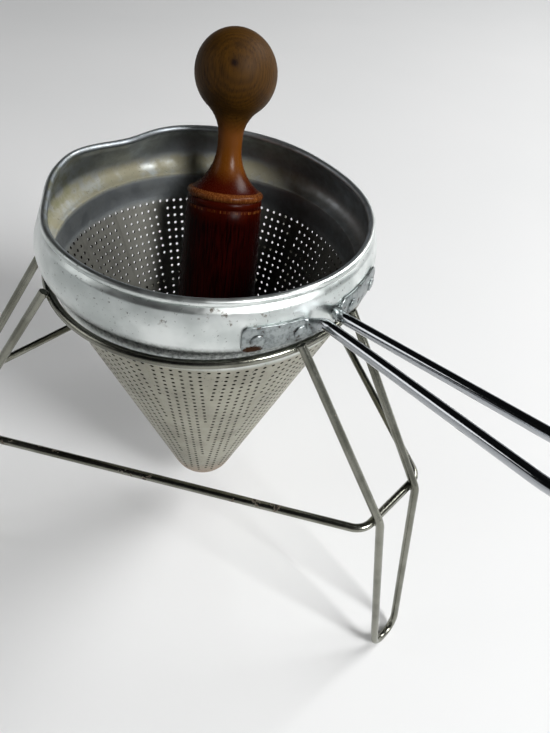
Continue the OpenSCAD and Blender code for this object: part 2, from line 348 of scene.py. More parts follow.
def tube(path: Sequence[Vector], radius: float, closed: bool, sides: int, bevel: float = 0.35) -> Shape:
    """Sweeps a round wire along a path.

    Args:
        path: Middle of the wire.
        radius: Radius of the wire.
        closed: Whether the wire joins up with itself.
        sides: Points round the wire.
        bevel: Width of the edge broken at a cut end.

    Returns:
        Points and faces, in millimetres.
    """
    points = list(path)
    radii = [radius] * len(points)
    if not closed:
        head = (points[1] - points[0]).normalized()
        tail = (points[-2] - points[-1]).normalized()
        points = [points[0], points[0] + head * bevel, *points[1:-1], points[-1] + tail * bevel, points[-1]]
        radii = [radius - bevel, radius, *radii[1:-1], radius, radius - bevel]
    count = len(points)
    tangents = []
    for i in range(count):
        before = points[i - 1] if closed or i else points[0]
        after = points[(i + 1) % count] if closed or i < count - 1 else points[-1]
        tangents.append((after - before).normalized())
    # Any way that no wire here follows can start the rings
    side = tangents[0].cross(Vector((0.31, 0.47, 0.83)))
    verts: list[Vector] = []
    for point, thick, along in zip(points, radii, tangents):
        side = (side - along * side.dot(along)).normalized()
        other = along.cross(side)
        verts += [point + side * c.x + other * c.y for c in circle(thick, 0, sides)]
    shift = None
    if closed:
        shift = min(range(sides), key=lambda k: (verts[(count - 1) * sides + k] - verts[0]).length)
    return verts, swept_faces(count, sides, shift)


def node_group(name: str, values: Values) -> tuple[bpy.types.NodeTree, Sequence, Values]:
    """Starts a geometry nodes tree with one named input for each value.

    Args:
        name: Name of the tree.
        values: Value of each input, by its name.

    Returns:
        The tree, the outputs of its input node, and the values by the identifiers of their sockets.
    """
    tree = bpy.data.node_groups.new(name, "GeometryNodeTree")
    tree.interface.new_socket("Geometry", in_out="INPUT", socket_type="NodeSocketGeometry")
    by_socket = {}
    for label, value in values.items():
        socket = tree.interface.new_socket(label, in_out="INPUT", socket_type=SOCKETS[type(value)])
        by_socket[socket.identifier] = value
    tree.interface.new_socket("Geometry", in_out="OUTPUT", socket_type="NodeSocketGeometry")
    return tree, tree.nodes.new("NodeGroupInput").outputs, by_socket


def run_nodes(obj: bpy.types.Object, tree: bpy.types.NodeTree, by_socket: Values) -> bpy.types.Object:
    """Runs a geometry nodes tree on an object and keeps the result as its plain mesh.

    Args:
        obj: Object that the tree starts from.
        tree: The tree.
        by_socket: Value of each input, by its socket's identifier.

    Returns:
        The object.
    """
    modifier = obj.modifiers.new(tree.name, "NODES")
    modifier.node_group = tree
    for identifier, value in by_socket.items():
        modifier[identifier] = value
    depsgraph = bpy.context.evaluated_depsgraph_get()
    mesh = bpy.data.meshes.new_from_object(obj.evaluated_get(depsgraph), depsgraph=depsgraph)
    obj.modifiers.clear()
    obj.data = mesh
    return obj


# Finishes


def new_material(name: str) -> tuple[bpy.types.Material, Callable]:
    """Makes a material with an empty node tree.

    Args:
        name: Name of the material.

    Returns:
        The material, and what adds a node to its tree.
    """
    material = bpy.data.materials.new(name)
    material.use_nodes = True
    material.node_tree.nodes.clear()
    return material, partial(add, material.node_tree)


def local_vector(node: Callable, place: Matrix) -> bpy.types.Node:
    """Adds coordinates in the own frame of a piece.

    Args:
        node: Adds a node to the tree.
        place: Where the piece is, in metres.

    Returns:
        The node that gives the coordinates.
    """
    back = place.inverted()
    coords = node("ShaderNodeTexCoord").outputs["Object"]
    moves = {"Vector": coords, "Rotation": back.to_euler("XYZ"), "Location": back.translation}
    return node("ShaderNodeMapping", moves, vector_type="POINT")


def overlap(node: Callable, *steps: tuple) -> bpy.types.Node:
    """Multiplies smooth steps into one mask.

    Args:
        node: Adds a node to the tree.
        *steps: For each its source, where it starts and ends, and its values there if they aren't 0 and 1.

    Returns:
        The mask's last node.
    """
    mask = node(Kind.SMOOTH, *steps[0])
    for step in steps[1:]:
        mask = node(Kind.MULTIPLY, mask, node(Kind.SMOOTH, *step))
    return mask


def cover(node: Callable, colour: object, *layers: tuple) -> object:
    """Covers a colour with layers.

    Args:
        node: Adds a node to the tree.
        colour: The colour at the bottom.
        *layers: For each, from the bottom up, its mask or the one smooth step of its mask, and its tint.

    Returns:
        The covered colour.
    """
    for mask, tint in layers:
        colour = node(Kind.MIX, overlap(node, mask) if isinstance(mask, tuple) else mask, colour, tint)
    return colour


def dress(node: Callable, surface: Values, *bumps: tuple) -> None:
    """Ends a material with its surface and output.

    Args:
        node: Adds a node to the tree.
        surface: Inputs of the principled shader.
        *bumps: For each its height, its depth in millimetres and its strength.
    """
    normal = (0.0, 0.0, 0.0)
    for height, depth, strength in bumps:
        bump = {"Height": height, "Distance": depth * MM, "Strength": strength, "Normal": normal}
        normal = node(Kind.BUMP, bump)
    shader = node("ShaderNodeBsdfPrincipled", {**surface, "Normal": normal})
    node("ShaderNodeOutputMaterial", {"Surface": shader})


@dataclass(frozen=True)
class SpunAluminium:
    """Spun and punched aluminium sheet, dulled by years of washing.

    It gives the eye a soft bluish white on the polished collar with fine lathe rings and specks, a warm
    matt grey on the cone, brown stains where food stood, grime in specks outside, and painted shade:
    near-black on the holes' walls and a darker mottled turn under the collar, round the ring.
    """

    name: str = "spun_aluminium_worn"
    collar: str = "#E8ECEA"
    collar_dull: str = "#BFC5C3"
    # Painted shade on the turn under the collar, round the ring
    under_shade: str = "#6F7371"
    cone: str = "#ABA99B"
    cone_dull: str = "#99978A"
    tip: str = "#A09180"
    inside: str = "#AEB5BA"
    inside_dull: str = "#969C9F"
    cone_inside: str = "#7C7C77"
    cream: str = "#8F8B76"
    olive: str = "#77775A"
    brown: str = "#4E3C22"
    # Grime in specks outside, and near-black painted shade on the holes' walls
    grime_and_hole_shade: str = "#1E1B16"
    place: Matrix = field(default_factory=Matrix)

    def build(self) -> bpy.types.Material:
        """Makes the material.

        Returns:
            The material.
        """
        # Heights and distances in the masks are metres in the sieve's frame, up from the collar's underside
        material, node = new_material(self.name)
        local = local_vector(node, self.place)
        x, y, z = node("ShaderNodeSeparateXYZ", local).outputs
        radius = node(Kind.LENGTH, node(Kind.STRETCH, local, (1.0, 1.0, 0.0)))
        marks = (node("ShaderNodeAttribute", attribute_name=name) for name in ("inner", "hole"))
        inner, hole = (one.outputs["Fac"] for one in marks)
        broad = node(Kind.NOISE, local, 1 / (34 * MM), 4.0)
        blotch = node(Kind.NOISE, local, 1 / (9 * MM), 5.0, 0.6)
        fine = node(Kind.NOISE, local, 1 / (1.6 * MM), 3.0, 0.6)
        # Lathe rings: noise drawn out round the axis, 0.9 mm wide, as coarse as the render can show
        rings = node(Kind.NOISE, node("ShaderNodeCombineXYZ", radius, z), 1 / (0.9 * MM), 2.0)
        patches = node(Kind.SMOOTH, broad, 0.40, 0.64)
        cloudy = node(Kind.SMOOTH, blotch, 0.36, 0.66)

        # Outside: a polished collar, and from the band's edge down a matt cone with a warm worn tip
        below = node(Kind.SMOOTH, z, -0.012, -0.016)
        cone = node(Kind.MIX, patches, self.cone, self.cone_dull)
        # Food dried brown under the rolled rim, on the side by the handle's front end
        front = node(Kind.DOT, local, (0.79, -0.62, 0.0))
        lip = ((z, 0.0150, 0.0185), (z, 0.0252, 0.0240))
        stain = overlap(node, (front, 0.070, 0.083), *lip, (blotch, 0.60, 0.68))
        # Painted shade: the turn under the collar, round and just above the ring, is darker and mottled,
        # standing in for the ring's shadow and dark reflection there
        turn = overlap(node, (z, 0.0062, 0.0022), (z, -0.014, -0.006))
        turn = node(Kind.MULTIPLY, turn, node(Kind.LINEAR, fine, 0.30, 0.60, 0.45, 0.95))
        outside = node(Kind.MIX, patches, self.collar, self.collar_dull)
        tip = (z, -0.155, -0.178)
        layers = ((below, cone), (tip, self.tip), (stain, self.brown), (turn, self.under_shade))
        outside = cover(node, outside, *layers)

        # Inside: blue-grey, with a cream film and brown freckles low in the collar, most away from the handle
        back = (x, 0.015, -0.055, 0.12)
        film = overlap(node, (z, 0.0125, 0.0070), (z, -0.002, 0.001, 0.1), back, (blotch, 0.22, 0.60, 0.35))
        # A greener film stands up the wall where X and Y are below 0
        wall = overlap(node, (y, -0.010, -0.060), back, (z, 0.002, 0.006), (blotch, 0.36, 0.66))
        freckles = node(Kind.MULTIPLY, node(Kind.SMOOTH, fine, 0.60, 0.74, 0.0, 0.6), film)
        within = node(Kind.MIX, cloudy, self.inside, self.inside_dull)
        within = cover(
            node, within, ((z, -0.013, -0.018), self.cone_inside),
            (film, self.cream), (wall, self.olive), (freckles, self.brown),
        )

        # Grime in specks and short scuffs outside, thickest where the sheet is dull; the holes' walls all
        # take the same near-black as painted shade
        specks = node(Kind.SMOOTH, node(Kind.MULTIPLY_ADD, patches, 0.05, fine), 0.665, 0.75, 0.0, 0.6)
        specks = node(Kind.MULTIPLY, specks, node(Kind.LINEAR, inner, 0.0, 1.0, 1.0, 0.25))
        dirt_and_hole_shade = node(Kind.MAXIMUM, specks, hole)

        # The cone scatters more than the polished collar, and the dried film that hides the metal most of all
        covered = node(Kind.MULTIPLY, film, inner)
        rough = node(Kind.LINEAR, below, 0.0, 1.0, 0.30, 0.46)
        for mask, more in ((inner, 0.13), (cloudy, 0.10), (dirt_and_hole_shade, 0.25), (covered, 0.22)):
            rough = node(Kind.MULTIPLY_ADD, mask, more, rough)
        dress(node, {
            "Base Color": cover(node, outside, (inner, within), (dirt_and_hole_shade, self.grime_and_hole_shade)),
            "Metallic": node(Kind.LINEAR, covered, 0.0, 1.0, 1.0, 0.4), "Roughness": rough,
        }, (broad, 0.5, 0.6), (rings, 0.03, 0.7), (blotch, 0.08, 0.6))
        return material


@dataclass(frozen=True)
class DrawnWire:
    """Drawn and tinned steel wire, gone olive-grey, with black and rusty spots.

    It gives the eye a dull metal with a sharp highlight line, and dark scabs where the tin has gone.
    """

    name: str = "drawn_steel_wire_dulled"
    steel: str = "#8A8A80"
    dull: str = "#727268"
    spot: str = "#120E0A"
    rust: str = "#4E2E18"

    def build(self) -> bpy.types.Material:
        """Makes the material.

        Returns:
            The material.
        """
        material, node = new_material(self.name)
        coords = node("ShaderNodeTexCoord").outputs["Object"]
        worn = node("ShaderNodeAttribute", attribute_name="worn").outputs["Fac"]
        broad = node(Kind.NOISE, coords, 1 / (22 * MM), 4.0)
        fine = node(Kind.NOISE, coords, 1 / (1.2 * MM), 3.0)
        spots = node(Kind.NOISE, coords, 1 / (4.5 * MM), 4.0, 0.65)
        # A scab is likeliest where a wire is marked as worn
        likely = node(Kind.MULTIPLY_ADD, worn, 0.20, spots)
        rusty = node(Kind.SMOOTH, likely, 0.70, 0.77, 0.0, 0.8)
        rough = node(Kind.LINEAR, fine, 0.3, 0.7, 0.17, 0.27)
        dress(node, {
            "Base Color": cover(
                node, self.steel,
                ((broad, 0.40, 0.64), self.dull), (rusty, self.rust), ((likely, 0.75, 0.79), self.spot),
            ),
            "Metallic": node(Kind.LINEAR, rusty, 0.0, 0.8, 1.0, 0.1),
            "Roughness": node(Kind.MULTIPLY_ADD, rusty, 0.35, rough),
        }, (fine, 0.04, 0.5), (likely, 0.15, 0.5))
        return material


@dataclass(frozen=True)
class PlatedRod:
    """Chrome-plated steel rod, worn thin where it is flattened on the collar.

    It gives the eye a dark mirror on the loop, and a duller mottled grey with rust round the rivets.
    """

    name: str = "chrome_plated_rod"
    chrome: str = "#B9BCC0"
    worn: str = "#969C9C"
    worn_dark: str = "#767C7D"
    rust: str = "#3B2414"
    tab_reach: float = 0.094
    rust_at: Vector = field(default_factory=Vector)

    def build(self) -> bpy.types.Material:
        """Makes the material.

        Returns:
            The material.
        """
        material, node = new_material(self.name)
        coords = node("ShaderNodeTexCoord").outputs["Object"]
        along = node("ShaderNodeSeparateXYZ", coords).outputs[0]
        flat_end = node(Kind.SMOOTH, along, self.tab_reach + 0.004, self.tab_reach - 0.004)
        broad = node(Kind.NOISE, coords, 1 / (12 * MM), 4.0)
        fine = node(Kind.NOISE, coords, 1 / (1 * MM), 3.0)
        spots = node(Kind.NOISE, coords, 1 / (3.2 * MM), 4.0, 0.65)
        ends = cover(node, self.worn, ((spots, 0.40, 0.62), self.worn_dark))
        # Rust in spots, most of them on the flattened ends, and in one patch by a rivet
        share = node(Kind.LINEAR, flat_end, 0.0, 1.0, 0.06, 0.8)
        away = node(Kind.MULTIPLY_ADD, spots, -0.008, node(Kind.DISTANCE, coords, self.rust_at))
        rusty = node(Kind.MULTIPLY, node(Kind.SMOOTH, spots, 0.60, 0.68), share)
        rusty = node(Kind.MAXIMUM, rusty, node(Kind.SMOOTH, away, 0.0005, -0.0010))
        rough = node(Kind.MULTIPLY_ADD, broad, 0.06, node(Kind.LINEAR, flat_end, 0.0, 1.0, 0.07, 0.30))
        dress(node, {
            "Base Color": cover(node, self.chrome, (flat_end, ends), (rusty, self.rust)),
            "Metallic": 1.0, "Roughness": node(Kind.MULTIPLY_ADD, rusty, 0.4, rough),
        }, (fine, 0.02, 0.4), (broad, 0.15, 0.5))
        return material


@dataclass(frozen=True)
class TurnedWood:
    """Turned hardwood under old varnish, worn bare on the knob and black-red with use on the body.

    It gives the eye an olive-brown knob with fine growth rings round a small dark knot, a glossy orange
    neck, a red-brown shoulder with a paler line on its bead and another in the groove below, both partly
    painted highlight, and a body that is nearly black.
    """

    name: str = "turned_hardwood_old_varnish"
    knob: str = "#452C07"
    knob_dark: str = "#251503"
    neck: str = "#5E340C"
    shoulder: str = "#340A02"
    # Paler lines on the bead and in the groove, partly painted highlight
    bead: str = "#8A5428"
    body: str = "#080000"
    body_glow: str = "#220302"
    top: float = 0.2735
    knob_r: float = 0.0227
    knot_way: tuple[float, float, float] = (-0.971, -0.058, 0.232)
    ring_gap: float = 0.0017
    bead_down: float = 0.0860
    groove_down: float = 0.0936
    place: Matrix = field(default_factory=Matrix)

    def build(self) -> bpy.types.Material:
        """Makes the material.

        Returns:
            The material.
        """
        # Distances down from the knob's top, and from the knot, are in metres
        material, node = new_material(self.name)
        local = local_vector(node, self.place)
        z = node("ShaderNodeSeparateXYZ", local).outputs[2]
        # Growth rings: flat shells that a slow warp bends, so that the knob shows ovals round its knot
        warp = node(Kind.NOISE, local, 1 / (30 * MM), 2.0)
        shell = node(Kind.MULTIPLY_ADD, warp, 0.007, node(Kind.DOT, local, self.knot_way))
        ring = node(Kind.SINE, node(Kind.MULTIPLY, shell, 2 * math.pi / self.ring_gap))
        ring = node(Kind.LINEAR, ring, -1.0)
        # Fibres 0.8 mm wide, drawn out along the axis
        fibre = node(Kind.NOISE, node(Kind.STRETCH, local, (1.0, 1.0, 0.05)), 1 / (0.8 * MM), 3.0, 0.6)
        blotch = node(Kind.NOISE, local, 1 / (11 * MM), 4.0)
        streaks = node(Kind.SMOOTH, fibre, 0.45, 0.70, 0.0, 0.5)
        grain = node(Kind.MULTIPLY_ADD, ring, 0.35, streaks, use_clamp=True)
        # The stages down the pestle run into each other along an uneven line
        down = node(Kind.SUBTRACT, self.top, z)
        depth = node(Kind.ADD, down, node(Kind.LINEAR, blotch, 0.0, 1.0, 0.007, -0.007))
        body = cover(node, self.body_glow, ((fibre, 0.35, 0.65), self.body))
        # The bead's edge and a thin line in the groove, paler as if rubbed and partly painted highlight, and
        # the small dark knot in the side of the knob
        edge = node(Kind.COMPARE, down, self.bead_down, 0.0022)
        rubbed_and_highlight = node(Kind.MULTIPLY, node(Kind.MULTIPLY_ADD, edge, streaks, 0.25), edge)
        groove_line_and_highlight = node(Kind.MULTIPLY, node(Kind.COMPARE, down, self.groove_down, 0.0007), streaks)
        knot = Vector((0.0, 0.0, self.top - self.knob_r)) + self.knob_r * Vector(self.knot_way)
        away = node(Kind.MULTIPLY_ADD, fibre, 0.0045, node(Kind.DISTANCE, local, knot))
        colour = cover(
            node, self.knob, (grain, self.knob_dark), ((blotch, 0.52, 0.70, 0.0, 0.5), self.knob_dark),
            ((depth, 0.043, 0.057), self.neck), ((depth, 0.068, 0.081), self.shoulder),
            ((depth, 0.088, 0.103), body), (rubbed_and_highlight, self.bead), (groove_line_and_highlight, self.bead),
            ((away, 0.0052, 0.0028, 0.0, 0.85), self.body),
        )
        polish = node(Kind.SMOOTH, down, 0.040, 0.066, 0.50, 0.20)
        dress(node, {
            "Base Color": colour, "Roughness": node(Kind.MULTIPLY_ADD, fibre, 0.14, polish), "IOR": 1.5,
            # Food has dulled the body: the varnish shines on the neck and shoulder alone
            "Specular IOR Level": node(Kind.SMOOTH, depth, 0.080, 0.096, 0.11, 0.025),
        }, (fibre, 0.1, 0.5), (ring, 0.04, 0.35))
        return material


# The stand


@dataclass
class WireStand:
    """Ring, three hairpin legs and the brace, all bent from one gauge of wire."""

    wire_d: float = 4.4
    ring_r: float = 84.0
    ring_z: float = 211.5
    leg_turn: float = 6.4
    leg_top_gap: float = 36.6
    leg_end_past: float = 1.2
    knee_gap: float = 31.0
    knee_r: float = 145.0
    knee_z: float = 131.5
    knee_bend_r: float = 12.0
    foot_r: float = 164.3
    foot_gap: float = 20.8
    foot_flat: float = 0.4
    foot_straight: float = 0.8
    brace_past: float = 8.1
    brace_bend_r: float = 11.0
    weld: float = 0.4
    weld_bead: float = 2.0
    scabs: tuple[float, ...] = (0.10, 0.19, 0.24, 0.42, 0.47, 0.69, 0.75, 0.79)
    scab_reach: float = 6.0

    @property
    def weld_step(self) -> float:
        """Distance between the middles of two welded wires."""
        return self.wire_d - self.weld

    @property
    def ring_x(self) -> float:
        """How far out the legs meet the ring."""
        return math.sqrt(self.ring_r**2 - (self.leg_top_gap / 2) ** 2)

    def leg_corners(self) -> list[Vector]:
        """Sharp corners of a leg that points along +X.

        Returns:
            The corners from one end of its wire to the other.
        """
        dx, dz = self.ring_x - self.knee_r, self.ring_z - self.knee_z
        far = math.hypot(dx, dz)
        slope = math.atan2(dz, dx) - math.asin(self.weld_step / far)
        rise = math.sqrt(far**2 - self.weld_step**2) + self.leg_end_past
        top_x, top_z = self.knee_r + rise * math.cos(slope), self.knee_z + rise * math.sin(slope)
        top = (top_x, self.leg_top_gap / 2, top_z)
        knee = (self.knee_r, self.knee_gap / 2, self.knee_z)
        foot = (self.foot_r, self.foot_gap / 2, self.wire_d / 2 - self.foot_flat)
        half = [Vector(p) for p in (top, knee, foot)]
        return half + [Vector((p.x, -p.y, p.z)) for p in reversed(half)]

    def crook(self) -> Vector:
        """Where the brace lies in the crook of a knee, for a leg along +X.

        Returns:
            The middle of its wire.
        """
        top, knee, foot = self.leg_corners()[:3]
        up, down = (top - knee).normalized(), (foot - knee).normalized()
        turn = math.pi - up.angle(down)
        sag = self.knee_bend_r * (1 / math.cos(turn / 2) - 1)
        return knee + (up + down).normalized() * (sag + self.weld_step)

    def turned(self, points: Sequence[Vector], leg: int) -> list[Vector]:
        """The points turned to one of the three legs."""
        turn = Matrix.Rotation(math.radians(self.leg_turn + 120 * leg), 3, "Z")
        return [turn @ p for p in points]

    def build(self) -> list[bpy.types.Object]:
        """Bends the wires.

        Returns:
            The ring, legs and brace, each over its own node.
        """
        radius = self.wire_d / 2
        ring = circle(self.ring_r, self.ring_z, 144)
        made = [(new_object("ring_wire", *tube(ring, radius, closed=True, sides=24)), "stand_ring")]
        corners = self.leg_corners()
        turn = (corners[2] - corners[1]).angle(corners[3] - corners[2])
        foot_bend = (self.foot_gap / 2 - self.foot_straight) / math.tan(turn / 2)
        radii = [0, self.knee_bend_r, foot_bend, foot_bend, self.knee_bend_r, 0]
        for leg, name in enumerate(("front", "rear", "left")):
            path = densify(rounded_path(corners, radii, closed=False, steps=10), closed=False, longest=12.0)
            verts, faces = tube(self.turned(path, leg), radius, closed=False, sides=22)
            # The underside of each foot is worn flat on the floor
            for v in verts:
                v.z = max(v.z, 0.0)
            made.append((new_object(f"leg_{name}_wire", verts, faces), f"stand_leg_{name}"))
        seat = self.crook()
        half = self.knee_gap / 2 + self.brace_past
        ends = [Vector((seat.x, s * half, seat.z)) for s in (-1, 1)]
        sharp = [p for leg in range(3) for p in self.turned(ends, leg)]
        path = rounded_path(sharp, [self.brace_bend_r] * len(sharp), closed=True, steps=10)
        path = densify(path, closed=True, longest=3.0)
        made.append((new_object("brace_wire", *tube(path, radius, closed=True, sides=20)), "stand_brace"))
        # The scabs lie along the brace's side between the left and the front leg
        scabs = [sharp[5].lerp(sharp[0], share) for share in self.scabs]
        for obj, node in made:
            clean(obj, sharp=40)
            # A mark fades out along the wire
            gaps = [min((v.co / MM - s).length for s in scabs) for v in obj.data.vertices]
            worn = (1 - smoothstep(0.4 * self.scab_reach, self.scab_reach, gap) for gap in gaps)
            mark(obj.data, "worn", "POINT", worn)
            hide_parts(node)
        return [obj for obj, _ in made]

    def weld_spots(self) -> list[list[Vector]]:
        """Where the wires are welded.

        Returns:
            For each weld its middle and the direction from one wire to the other.
        """
        spots = []
        top, knee, _ = self.leg_corners()[:3]
        up, seat = (top - knee).normalized(), self.crook()
        for leg in range(3):
            for side in (-1, 1):
                on_ring = Vector((self.ring_x, side * self.leg_top_gap / 2, self.ring_z))
                line = Vector((up.x, side * up.y, up.z))
                bend = Vector((knee.x, side * knee.y, knee.z))
                near = bend + line * (on_ring - bend).dot(line)
                crook = Vector((seat.x, side * knee.y, seat.z))
                for start, end in ((on_ring, near), (crook, bend)):
                    spots.append(self.turned([(start + end) / 2, end - start], leg))
        return spots

    def build_welds(self, material: bpy.types.Material) -> bpy.types.Object:
        """Puts a low bead of weld metal where wires cross, by geometry nodes.

        Args:
            material: Finish of the beads.

        Returns:
            One mesh of all the beads.
        """
        spots = self.weld_spots()
        obj = new_object("weld_beads", [s for s, _ in spots], [])
        mark(obj.data, "way", "POINT", (direction.normalized() for _, direction in spots))
        values = {"Size": self.weld_bead * MM, "Seed": 7, "Metal": material}
        tree, get, by_socket = node_group("weld_beads", values)
        node = partial(add, tree)
        direction = node("GeometryNodeInputNamedAttribute", {"Name": "way"}, data_type="FLOAT_VECTOR")
        spread = {"Min": (0.9, 0.9, 0.9), "Max": (1.15, 1.15, 1.05), "Seed": get["Seed"]}
        spread = node("FunctionNodeRandomValue", spread, data_type="FLOAT_VECTOR")
        squash = node(Kind.STRETCH, spread, (1.0, 1.0, 0.55))
        places = node("GeometryNodeInstanceOnPoints", {
            "Points": get["Geometry"], "Instance": node("GeometryNodeMeshIcoSphere", 1.0, 3),
            "Rotation": node("FunctionNodeAlignRotationToVector", {"Vector": direction}, axis="Z"),
            "Scale": node("ShaderNodeVectorMath", squash, get["Size"], operation="SCALE"),
        })
        real = node("GeometryNodeRealizeInstances", places)
        node("NodeGroupOutput", node("GeometryNodeSetMaterial", {"Geometry": real, "Material": get["Metal"]}))
        run_nodes(obj, tree, by_socket)
        obj.data.shade_smooth()
        return obj


# The sieve


@dataclass
class PunchedSieve:
    """Rolled rim, bulged collar, band, punched cone and tip, made from one sheet."""

    lean: float = 3.0
    towards: float = 47.9
    rest_gap: float = 0.3
    wall: float = 1.2
    band_r: float = 80.0
    band_h: float = 14.9
    band_middle_z: float = -7.0
    band_corner_r: float = 0.8
    cone_angle: float = 20.2
    tip_r: float = 22.4
    bulge_r: float = 87.0
    bulge_z: float = 10.1
    bulge_arc_r: float = 30.5
    bulge_end_z: float = 23.2
    shoulder_r: float = 4.6
    inner_turn_r: float = 9.0
    inner_turn_z: float = 9.6
    inner_step: float = 0.45
    rim_z: float = 26.4
    bead_z: float = 26.95
    bead_d: float = 3.7
    # A lip pulled out for pouring, the knock beside it, and what use has left oval: each with its angle from
    # the handle, its width in degrees and how far it goes outwards
    bends: tuple[Sequence[float], ...] = (
        (150, 20, 1.5), (183, 14.5, -7.0), (88, 26, -3.2), (206, 9, 1.2), (240, 17, -3.4), (315, 30, 0.5),
    )
    bend_from_z: float = 4.0
    steps: int = 192
    gores: int = 16
    columns: int = 9
    hole_d: float = 1.85
    pitch_across: float = 4.35
    pitch_along: float = 4.65
    hole_margin: float = 1.08
    hole_shift: float = 0.25
    first_row: float = 2.4
    hole_sides: int = 8

    def matrix(self, stand: WireStand) -> Matrix:
        """Where the sieve leans in the stand's ring.

        Args:
            stand: The stand's sizes.

        Returns:
            What takes the sieve's own frame, in metres, to the part's.
        """
        lean, wire_r = math.radians(self.lean), stand.wire_d / 2
        seat_z = wire_r + (stand.ring_r + wire_r) * math.sin(lean) + self.rest_gap
        turn = Matrix.Rotation(math.radians(self.towards), 4, "Z")
        up, seat = (Matrix.Translation((0, 0, z * MM)) for z in (stand.ring_z, seat_z))
        return up @ turn @ Matrix.Rotation(lean, 4, "Y") @ turn.inverted() @ seat

    @property
    def arc_x(self) -> float:
        """Radius at which the bulge's arc has its middle."""
        return self.bulge_r - self.bulge_arc_r

    @property
    def slope(self) -> float:
        """The cone's half angle, in radians."""
        return math.radians(self.cone_angle)

    @property
    def cone_top(self) -> Point2:
        """Inner corner between band and cone."""
        z = -self.band_h + self.wall * (1 / math.cos(self.slope) - 1) / math.tan(self.slope)
        return (self.band_r - self.wall, z)

    @property
    def tip_centre(self) -> float:
        """Height of the round tip's middle."""
        tangent = -self.band_h - (self.band_r - self.tip_r * math.cos(self.slope)) / math.tan(self.slope)
        return tangent + self.tip_r * math.sin(self.slope)

    @property
    def cone_bottom(self) -> Point2:
        """Inner corner between cone and tip."""
        r = self.tip_r - self.wall
        return (r * math.cos(self.slope), self.tip_centre - r * math.sin(self.slope))

    def section(self) -> list[Point2]:
        """Turned section of band and collar.

        Returns:
            The outer line from the cone up, the rolled rim, and the inner line down to the cone.
        """

        def rise(reach: float, height: float) -> float:
            """Angle in degrees, seen from the bulge's middle, of a height at a reach."""
            return math.degrees(math.asin((height - self.bulge_z) / reach))

        bulge = (self.arc_x, self.bulge_z)
        top = rise(self.bulge_arc_r, self.bulge_end_z)
        r, z = self.cone_top
        corner, band = self.band_corner_r, self.band_middle_z
        outer = [(r + self.wall * math.cos(self.slope), z - self.wall * math.sin(self.slope))]
        outer += [(self.band_r, -self.band_h + corner), (self.band_r, band)]
        outer += arc((self.band_r + corner, -corner), corner, 180, 90, 3)
        reach = self.bulge_arc_r - self.shoulder_r
        low = rise(reach, self.shoulder_r)
        middle = (self.arc_x + reach * math.cos(math.radians(low)), self.shoulder_r)
        outer += arc(middle, self.shoulder_r, -90, low, 7)[:-1]
        outer += arc(bulge, self.bulge_arc_r, low, top, 16)
        # Inside, the band breaks softly, over 0.8 mm, into one wide turn that runs up into the bulge
        reach = self.bulge_arc_r - self.wall - self.inner_turn_r
        low = rise(reach, self.inner_turn_z)
        turn = (self.arc_x + reach * math.cos(math.radians(low)), self.inner_turn_z)
        begin = -math.degrees(math.acos((r + self.inner_step - turn[0]) / self.inner_turn_r))
        wide = arc(turn, self.inner_turn_r, begin, low, 14)
        inner = [(r, z), (r, band), (r, wide[0][1] - 0.8), (r + 0.12, wide[0][1] - 0.28)]
        inner += wide[:-1] + arc(bulge, self.bulge_arc_r - self.wall, low, top, 16)
        # The rolled rim runs from the crease outside, over the top, to the wall inside
        rim = math.radians(rise(self.bulge_arc_r, self.rim_z))
        x = self.arc_x + (self.bulge_arc_r - self.wall / 2) * math.cos(rim)
        return outer + arc((x, self.bead_z), self.bead_d / 2, -108, 240, 22) + inner[::-1]

    def blank(self, near: float, far: float) -> bpy.types.Object:
        """The flat outline of one gore.

        Args:
            near: Distance of its lower end from the cone's point.
            far: Distance of its upper end.

        Returns:
            A closed line of edges.
        """
        half = math.pi / self.gores * math.sin(self.slope)
        per = self.steps // self.gores
        shares = [1 - 2 * k / per for k in range(per + 1)]
        ring = [(rho, way * half * share) for rho, way in ((far, 1), (near, -1)) for share in shares]
        points = [(rho * math.sin(a), rho * math.cos(a), 0) for rho, a in ring]
        edges = [(i, (i + 1) % len(ring)) for i in range(len(ring))]
        return new_object("punched_cone", points, [], edges=edges)

    def punched_cone(self, material: bpy.types.Material) -> bpy.types.Object:
        """Punches one flat gore, rolls it up and repeats it round the cone, by geometry nodes.

        Args:
            material: Finish of the sheet.

        Returns:
            The punched cone, open at its two ends.
        """
        near, far = (corner[0] / math.sin(self.slope) for corner in (self.cone_bottom, self.cone_top))
        first = far - self.first_row
        tree, get, by_socket = node_group("punched_cone", {
            "Hole Diameter": self.hole_d * MM, "Hole Sides": self.hole_sides,
            "Pitch Across": self.pitch_across * MM, "Pitch Along": self.pitch_along * MM,
            "Wall": self.wall * MM, "Margin": self.hole_margin * MM,
            "Shift Across": self.hole_shift * self.pitch_across * MM, "First Row": first * MM,
            "Near": near * MM, "Slope": self.slope,
            "Apex Height": (self.cone_top[1] - far * math.cos(self.slope)) * MM,
            "Gores": self.gores, "Columns": self.columns,
            "Rows": math.floor((first - near) / self.pitch_along) + 1, "Metal": material,
        })
        node = partial(add, tree)
        sin, cos = (node(way, get["Slope"]) for way in (Kind.SINE, Kind.COSINE))
        share = node(Kind.DIVIDE, 2 * math.pi, get["Gores"])

        # A square lattice of hole middles, with its first row just under the band. It stands a little aside
        # of the gore's middle, so that the columns of two neighbours run out in turn where the cone narrows
        width, length = (
            node(Kind.MULTIPLY, node(Kind.SUBTRACT, get[count], 1.0), get[pitch])
            for count, pitch in (("Columns", "Pitch Across"), ("Rows", "Pitch Along"))
        )
        grid = node("GeometryNodeMeshGrid", width, length, get["Columns"], get["Rows"])
        middle = node(Kind.MULTIPLY_ADD, length, -0.5, get["First Row"])
        shift = node("ShaderNodeCombineXYZ", get["Shift Across"], middle)
        lattice = node("GeometryNodeSetPosition", {"Geometry": grid, "Offset": shift})
        x, y, t = node("ShaderNodeSeparateXYZ", node("GeometryNodeInputPosition")).outputs

